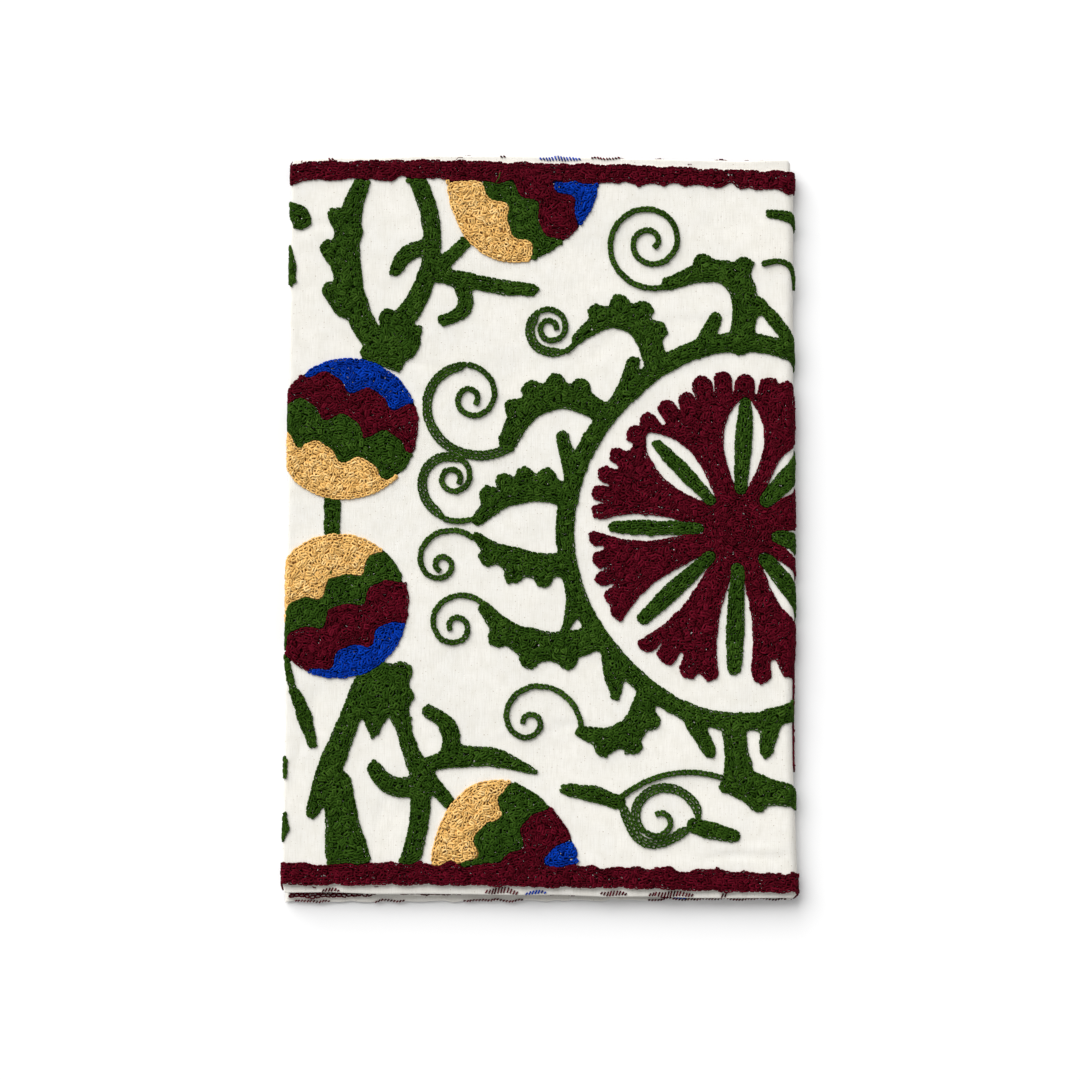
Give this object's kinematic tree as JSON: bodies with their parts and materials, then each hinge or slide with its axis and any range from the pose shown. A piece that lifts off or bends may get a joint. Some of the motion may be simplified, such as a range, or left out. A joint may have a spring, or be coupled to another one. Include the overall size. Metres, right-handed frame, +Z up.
{
  "type": "suzani embroidered table runner, folded in half twice",
  "caption": "Hemmed off-white cotton runner with bold chain-stitch flowers, fruit and scrolls, folded flat into layers as for a shelf or a table.",
  "frame": {"origin": "middle of the bounding box's underside, on the surface that the folded cloth lies on", "axes": "+Z up out of the top layer's embroidered face, +Y across the panel from one hemmed long edge to the other, +X along the panel from the left fold and free ends to the two nested folds"},
  "size_m": [0.2576, 0.3736, 0.011],
  "materials": {
    "cotton_ground": "plain-woven off-white cotton with small slubs",
    "green_yarn": "thick twisted yarn in chain stitch, olive green",
    "maroon_yarn": "thick twisted yarn in chain stitch, maroon",
    "blue_yarn": "thick twisted yarn in chain stitch, royal blue",
    "tan_yarn": "thick twisted yarn in chain stitch, warm tan"
  },
  "bodies": {
    "root": {"suzani_cloth": "cotton_ground"}
  },
  "joints": []
}
